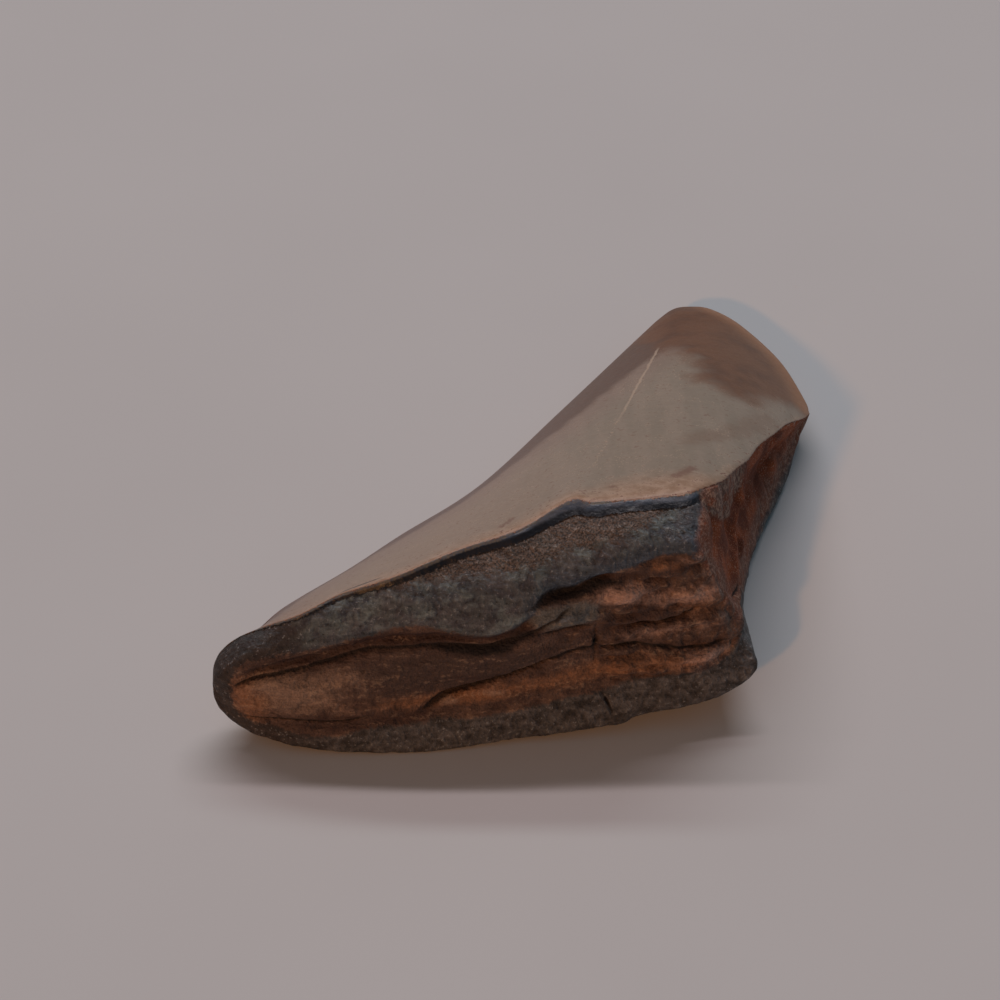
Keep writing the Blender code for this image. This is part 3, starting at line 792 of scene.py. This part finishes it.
# Strokes on the crown: two ends in x, y, half width and the length over which each end fades
scratch = ((8.5, 30.8), (0.3, -1.6), 0.21, 1.5)
scratchWhole = (24, 14)        # the scratch breaks up between these lengths from its start
marginCrack = ((-22.2, -15.0), (-18.0, -14.2), 0.2, 1.0)
rustStrokes = (((7.2, -5.6), (9.6, -3.0), 0.7, 0.5), ((1.5, -7.2), (2.3, -6.4), 0.35, 0.5),
               ((-8.2, -10.4), (-6.6, -8.4), 0.4, 0.5))


def enamelColours(p):
    # grey middle turning rosy towards the lobe and the cutting edge, tan above the root, brown at
    # the worn tip; and how far it is pink or brown
    towardsLobe = p.ramp(p.x, *finishPlaces["rosyX"])
    colour = p.mix(p.above("growth", 0.35, 0.65), finish["enamelGrey"], finish["enamelPale"])
    colour = p.mix(towardsLobe, colour, finish["enamelRosy"])
    tan = p.times(p.ramp(p.ragged(p.mark("tanMm"), "cloud", 3), -1.5, 3), 0.9)
    tanColour = p.mix(p.above("mottle", 0.35, 0.6), finish["enamelTanDark"], finish["enamelTan"])
    colour = p.mix(tan, colour, tanColour)
    colour = p.mix(p.times(p.ramp(p.mark("rosyMm"), -5.5, -0.5), 0.45), colour, finish["enamelBlush"])
    pink = p.mix(towardsLobe, finish["enamelPink"], finish["enamelPinkPale"])
    inBand = p.ramp(p.ragged(p.ragged(p.mark("rosyMm"), "mottle", 1.0), "cloud", 2.5), -1.0, 1.0)
    colour = p.mix(p.times(inBand, 0.9), colour, pink)
    lens = p.times(p.ramp(p.ragged(p.mark("lensMm"), "cloud", 2), 1.8, 0.2), 0.3)
    colour = p.mix(lens, colour, finish["enamelBrown"])
    brown = p.mix(p.above("cloud", 0.3, 0.6), finish["enamelDark"], finish["enamelBrown"])
    brown = p.mix(p.ramp(p.mark("chipMm"), 3.0, 0.2), brown, finish["enamelOrange"])
    brownShare = p.ramp(p.ragged(p.ragged(p.mark("brownMm"), "mottle", 1.0), "cloud", 4), -1.6, 2.0)
    brownShare = p.math("MAXIMUM", brownShare, p.times(p.ramp(p.mark("chipMm"), 4.0, 0.8), 0.85))
    colour = p.mix(p.times(brownShare, 0.95), colour, brown)
    return p.shaded(colour, "mottle", 0.96, 1.04), p.math("MAXIMUM", brownShare, inBand)


def enamelCoat(p):
    # its colours, with rust stains, pits towards the root, cream ticks where it isn't pink or
    # brown, a rusty border, one long pale scratch and a crack by the margin drawn as a line of painted shade
    colour, darkShare = enamelColours(p)
    for rustStroke in rustStrokes:
        stain = p.stroke(*rustStroke, "fine", 1.2)[0]
        colour = p.mix(p.times(stain, 0.6), colour, finish["rust"])
    nearRoot = p.ramp(p.mark("crownMm"), 6, 0.3)
    pits = p.times(p.above("fine", 0.57, 0.62), p.above("mottle", 0.5, 0.55))
    colour = p.mix(p.times(pits, p.blend(nearRoot, 0.45, 0.9)), colour, finish["rust"])
    ticks = p.times(p.above("grit", 0.56, 0.62), p.above("cloud", 0.48, 0.54), p.above("fine", 0.5, 0.54))
    ticks = p.times(ticks, p.blend(darkShare, 0.6, 0.1))
    colour = p.mix(ticks, colour, finish["cream"])
    atBorder = p.ramp(p.ragged(p.mark("crownMm"), "fine", 1.2), 0.5, 0.0)
    colour = p.mix(p.times(atBorder, 0.45), colour, finish["rust"])
    scratched, along = p.stroke(*scratch, "mottle", 0.6)
    whole = p.math("MAXIMUM", p.ramp(along, *scratchWhole), p.above("fine", 0.5, 0.6))
    colour = p.mix(p.times(scratched, whole, 0.75), colour, finish["cream"])
    # the crack by the margin is a dark line of painted shade under the lifted enamel edge
    split = p.stroke(*marginCrack, "fine", 0.2)[0]
    colour = p.mix(p.times(split, 0.9), colour, finish["crackAndPitShade"])
    height = p.bumps(finish["enamelBumps"], p.times(scratched, whole, finish["scratchBump"]))
    return colour, p.blend(p.texture["fine"], *finish["enamelRough"]), height


def neckBand(p):
    # pale grey strip under the enamel, then a glossy band that darkens to navy at its foot; the pale
    # strip and the band's pale top are a painted highlight, and the navy foot is the band's own dark
    # colour with painted shade on its lower face
    stripHighlight = p.mix(p.above("fine", 0.4, 0.6), finish["stripHighlight"], finish["navyHighlight"])
    # the band's upper part is made lighter as a painted highlight on its upward face
    upper = p.mix(p.above("fibre", 0.4, 0.65), finish["barkBlue"], finish["navyHighlight"])
    # towards its foot the navy is the band's dark colour with painted shade on its downward face
    atFoot = p.ramp(p.ragged(p.mark("navyMm"), "mottle", 0.5), -1.0, -0.5)
    navy = p.mix(atFoot, upper, finish["navy"])
    inNavy = p.ramp(p.ragged(p.mark("stripMm"), "fine", 0.35), -0.1, 0.1)
    roughness = p.blend(p.texture["fibre"], *finish["neckRough"])
    return p.mix(inNavy, stripHighlight, navy), roughness, p.bumps(finish["neckBumps"])


def barkCrust(p):
    # mottled streaky crust, blue-grey above and brown-grey below and round the lobe, sandy under
    # the neck, with pale flecks and dark pits of painted shade
    onUpper = p.ramp(p.ragged(p.z, "cloud", 3), *finishPlaces["barkUpperZ"])
    light = p.mix(onUpper, finish["rim"], finish["bark"])
    dark = p.mix(onUpper, finish["rimDark"], finish["barkDark"])
    colour = p.mix(p.above("mottle", 0.34, 0.6), dark, light)
    colour = p.mix(p.times(p.above("cloud", 0.4, 0.62), onUpper, 0.65), colour, finish["barkPurple"])
    nearLip = p.ramp(p.ragged(p.mark("baseMm"), "mottle", 1.5), -1.8, -0.6)
    towardsBreak = p.ramp(p.x, *finishPlaces["lipBlueX"])
    colour = p.mix(p.times(nearLip, towardsBreak, onUpper, 0.8), colour, finish["barkBlue"])
    atLobe = p.ramp(p.x, *finishPlaces["lobeX"])
    colour = p.mix(p.times(atLobe, 0.8), colour, finish["lobe"])
    sand = p.mix(p.above("grit", 0.35, 0.6), finish["sandDark"], finish["sand"])
    inSand = p.ramp(p.ragged(p.ragged(p.mark("sandMm"), "mottle", 2.5), "fine", 1.5), 0.5, -0.7)
    colour = p.mix(p.times(inSand, 0.85), colour, sand)
    colour = p.shaded(colour, "fibre", 0.7, 1.3)
    colour = p.shaded(colour, "fine", 0.72, 1.28)
    flecks = p.times(p.above("fine", 0.56, 0.66), p.above("grit", 0.5, 0.62))
    colour = p.mix(p.times(flecks, 0.45), colour, finish["speck"])
    # dark pits: painted shade in the crust's pores
    colour = p.mix(p.times(p.above("fine", 0.36, 0.28), 0.6), colour, finish["crackAndPitShade"])
    return colour, p.blend(p.texture["fine"], *finish["barkRough"]), p.bumps(finish["barkBumps"])


def wornBase(p):
    # bare fibrous inside of the root: brown, in grey, red, orange and pale patches, redder and
    # darker where it is hollow, with fine pale streaks
    colour = p.mix(p.above("mottle", 0.3, 0.7), finish["baseDark"], finish["baseBrown"])
    # the dark patch lays painted shade in crevices and under the bark's lip; the red patch is partly painted
    # shade under the lip
    for patch in ("grey", "red", "orange", "pale", "pink", "hollow", "crust", "dark"):
        if patch == "hollow":
            share = p.ramp(p.mark("raised"), -0.3, -1.0)
        else:
            frayed = p.ragged(p.ragged(p.mark(patch + "Patch"), "fine", 0.5), "mottle", 0.5)
            share = p.ramp(frayed, 0.1, 0.9)
        colour = p.mix(p.times(share, finish["patchStrength"]), colour, finish[patch])
    colour = p.shaded(colour, "mottle", 0.92, 1.08)
    colour = p.shaded(colour, "fibre", 0.84, 1.16)
    colour = p.shaded(colour, "fine", 0.87, 1.13)
    colour = p.shaded(colour, "grit", 0.85, 1.15)
    streaks = p.times(p.above("fibre", 0.52, 0.62), p.above("fine", 0.48, 0.58))
    colour = p.mix(p.times(streaks, 0.3), colour, finish["straw"])
    return colour, p.blend(p.texture["fine"], *finish["baseRough"]), p.bumps(finish["baseBumps"])


def roughBreak(p):
    # deep red-brown granular break with painted glints (pale flecks standing in for highlights), and a
    # smoother lilac facet under the enamel
    colour = p.mix(p.above("cloud", 0.36, 0.6), finish["breakDark"], finish["breakRed"])
    colour = p.mix(p.times(p.above("grit", 0.55, 0.7), 0.25), colour, finish["orange"])
    colour = p.mix(p.times(p.ramp(p.mark("raised"), -0.1, -0.6), 0.6), colour, finish["breakDark"])
    facet = p.mix(p.above("fine", 0.4, 0.7), finish["facet"], finish["facetPaleAndGlint"])
    facet = p.mix(p.times(p.above("mottle", 0.5, 0.4), 0.5), facet, finish["breakRed"])
    nearCorner = p.times(p.ramp(p.ragged(p.mark("breakMm"), "mottle", 2.5), 3.5, 1.2), 0.7)
    onFacet = p.math("MAXIMUM", p.ramp(p.ragged(p.mark("facetMm"), "fine", 0.6), -0.15, 0.2), nearCorner)
    colour = p.mix(onFacet, colour, facet)
    # painted shade along the fold at the facet's edge
    foldShade = p.ramp(p.math("ABSOLUTE", p.ragged(p.mark("facetMm"), "fine", 0.5)), 0.3, 0.08)
    colour = p.mix(p.times(foldShade, 0.5), colour, finish["breakDark"])
    colour = p.shaded(colour, "mottle", 0.9, 1.1)
    colour = p.shaded(colour, "grit", 0.8, 1.2)
    # painted glints: pale flecks standing in for sparkling highlights
    colour = p.mix(p.times(p.above("grit", 0.6, 0.66), p.above("cloud", 0.35, 0.55), 0.6), colour,
                   finish["facetPaleAndGlint"])
    return colour, finish["breakRough"], p.bumps(finish["breakBumps"])


def layered(p, share, under, over):
    # share of the second finish laid over the first: colour, roughness and height together
    return (p.mix(share, under[0], over[0]), p.blend(share, under[1], over[1]),
            p.blend(share, under[2], over[2]))


def fossilMaterial():
    # the bark, then the worn base, the neck, the break and the crown laid over it, and painted shade in the
    # cracks
    p = Paint("fossilTooth", fossilTextures)
    onBase = p.ramp(p.ragged(p.ragged(p.mark("baseMm"), "mottle", 1.2), "fine", 0.8), -0.25, 0.25)
    onBreak = p.ramp(p.ragged(p.mark("breakMm"), "mottle", 2.4), -0.6, 0.6)
    onNeck = p.ramp(p.ragged(p.mark("navyMm"), "fine", 0.5), 0.1, -0.1)
    onCrown = p.ramp(p.ragged(p.ragged(p.mark("crownMm"), "fine", 0.7), "grit", 0.3), -0.05, 0.05)
    made = layered(p, onBase, barkCrust(p), wornBase(p))
    made = layered(p, onNeck, made, neckBand(p))
    made = layered(p, onBreak, made, roughBreak(p))
    colour, roughness, height = layered(p, onCrown, made, enamelCoat(p))
    # painted shade in the cracks of the root and the break, none on the crown
    crack = p.ramp(p.ragged(p.mark("crackGap"), "fine", 1.0), 1.5, 0.6)
    colour = p.mix(p.times(crack, p.math("SUBTRACT", 1.0, onCrown), 0.9), colour, finish["crackAndPitShade"])
    p.feed(p.surface.inputs["Base Color"], colour)
    p.feed(p.surface.inputs["Roughness"], roughness)
    p.surface.inputs["Specular IOR Level"].default_value = finish["gloss"]
    bump = p.nodes.new("ShaderNodeBump")
    bump.inputs["Distance"].default_value = mm
    p.feed(bump.inputs["Height"], height)
    p.feed(p.surface.inputs["Normal"], bump.outputs["Normal"])
    return p.material


def addTooth():
    # skin = ribs + outward normal x relief, kept above the floor
    grid = ribGrid(toothShape)
    marks = surfaceMarks(grid, toothShape, finishPlaces)
    height = relief(grid, marks, reliefShape)
    grid = grid + outward(grid) * height[..., None]
    grid[..., 2] = np.maximum(grid[..., 2], 0)
    tooth = addSkin("fossil_tooth", grid, marks, cadBox)
    tooth.data.materials.append(fossilMaterial())
    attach(tooth, "root")
    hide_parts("tooth")
    print("tooth skin:", len(tooth.data.polygons), "faces")


studio = {
    "floorSize": 8.0,
    "floorColours": (tone(205, 205, 205), tone(199, 199, 199)),
    "floorRough": (0.6, 0.7),
    "floorTextures": {"cloud": (0.02, 3, 0.5)},
    "roomLight": (0.054, 0.091, 0.115),
    # place as x, y per unit of height, then width, length, watts, colour; all stand 3 m away
    "distance": 3.0,
    "backHigh": ((-0.1, 0.61), 3.4, 0.12, 34.6, (0.99, 0.84, 0.86)),
    "backLow": ((0.0, 0.9), 2.6, 0.2, 16.5, (0.93, 1.0, 1.0)),
    "frontLeft": ((-0.96, -1.87), 0.14, 0.14, 28.0, (1.0, 0.43, 0.14)),
}


def addFloor():
    # one square on z = 0
    p = Paint("paleFloor", studio["floorTextures"])
    p.feed(p.surface.inputs["Base Color"], p.mix(p.texture["cloud"], *studio["floorColours"]))
    p.feed(p.surface.inputs["Roughness"], p.blend(p.texture["cloud"], *studio["floorRough"]))
    half = studio["floorSize"] / 2
    mesh = bpy.data.meshes.new("floor")
    mesh.from_pydata([(-half, -half, 0), (half, -half, 0), (half, half, 0), (-half, half, 0)], [],
                     [(0, 1, 2, 3)])
    floor = bpy.data.objects.new("floor", mesh)
    floor.data.materials.append(p.material)
    bpy.context.scene.collection.objects.link(floor)


def addLight(name):
    # a rectangle at distance x (across, back, 1) made one long, tipped about x towards the tooth
    (across, back), width, length, watts, colour = studio[name]
    data = bpy.data.lights.new(name, "AREA")
    data.shape = "RECTANGLE"
    data.size, data.size_y = width, length
    data.energy = watts
    data.color = colour
    light = bpy.data.objects.new(name, data)
    direction = Vector((across, back, 1)).normalized()
    light.location = direction * studio["distance"]
    light.rotation_euler.x = -math.atan(back)      # its width stays level, along x
    bpy.context.scene.collection.objects.link(light)


def addRoomLight():
    world = bpy.data.worlds.new("room")
    world.use_nodes = True
    background = world.node_tree.nodes["Background"]
    background.inputs["Color"].default_value = (*studio["roomLight"], 1)
    bpy.context.scene.world = world


cameraView = {
    "target": (-0.008, 0.014, 0.0),
    "elevation": 40,
    "distance": 0.2361,
    "lens": 85,
    "nearest": 0.01,
}


def addCamera():
    # place = target + distance x (0, -cos elevation, sin elevation), looking at the target
    data = bpy.data.cameras.new("camera")
    data.lens = cameraView["lens"]
    data.clip_start = cameraView["nearest"]
    camera = bpy.data.objects.new("camera", data)
    angle = math.radians(cameraView["elevation"])
    back = Vector((0, -math.cos(angle), math.sin(angle)))
    camera.location = Vector(cameraView["target"]) + back * cameraView["distance"]
    camera.rotation_mode = "QUATERNION"
    camera.rotation_quaternion = back.to_track_quat("Z", "Y")
    bpy.context.scene.collection.objects.link(camera)
    bpy.context.scene.camera = camera


addTooth()
addFloor()
for lightName in ("backHigh", "backLow", "frontLeft"):
    addLight(lightName)
addRoomLight()
addCamera()
bpy.context.scene.view_settings.view_transform = "Standard"
print("floor, lights and camera set")
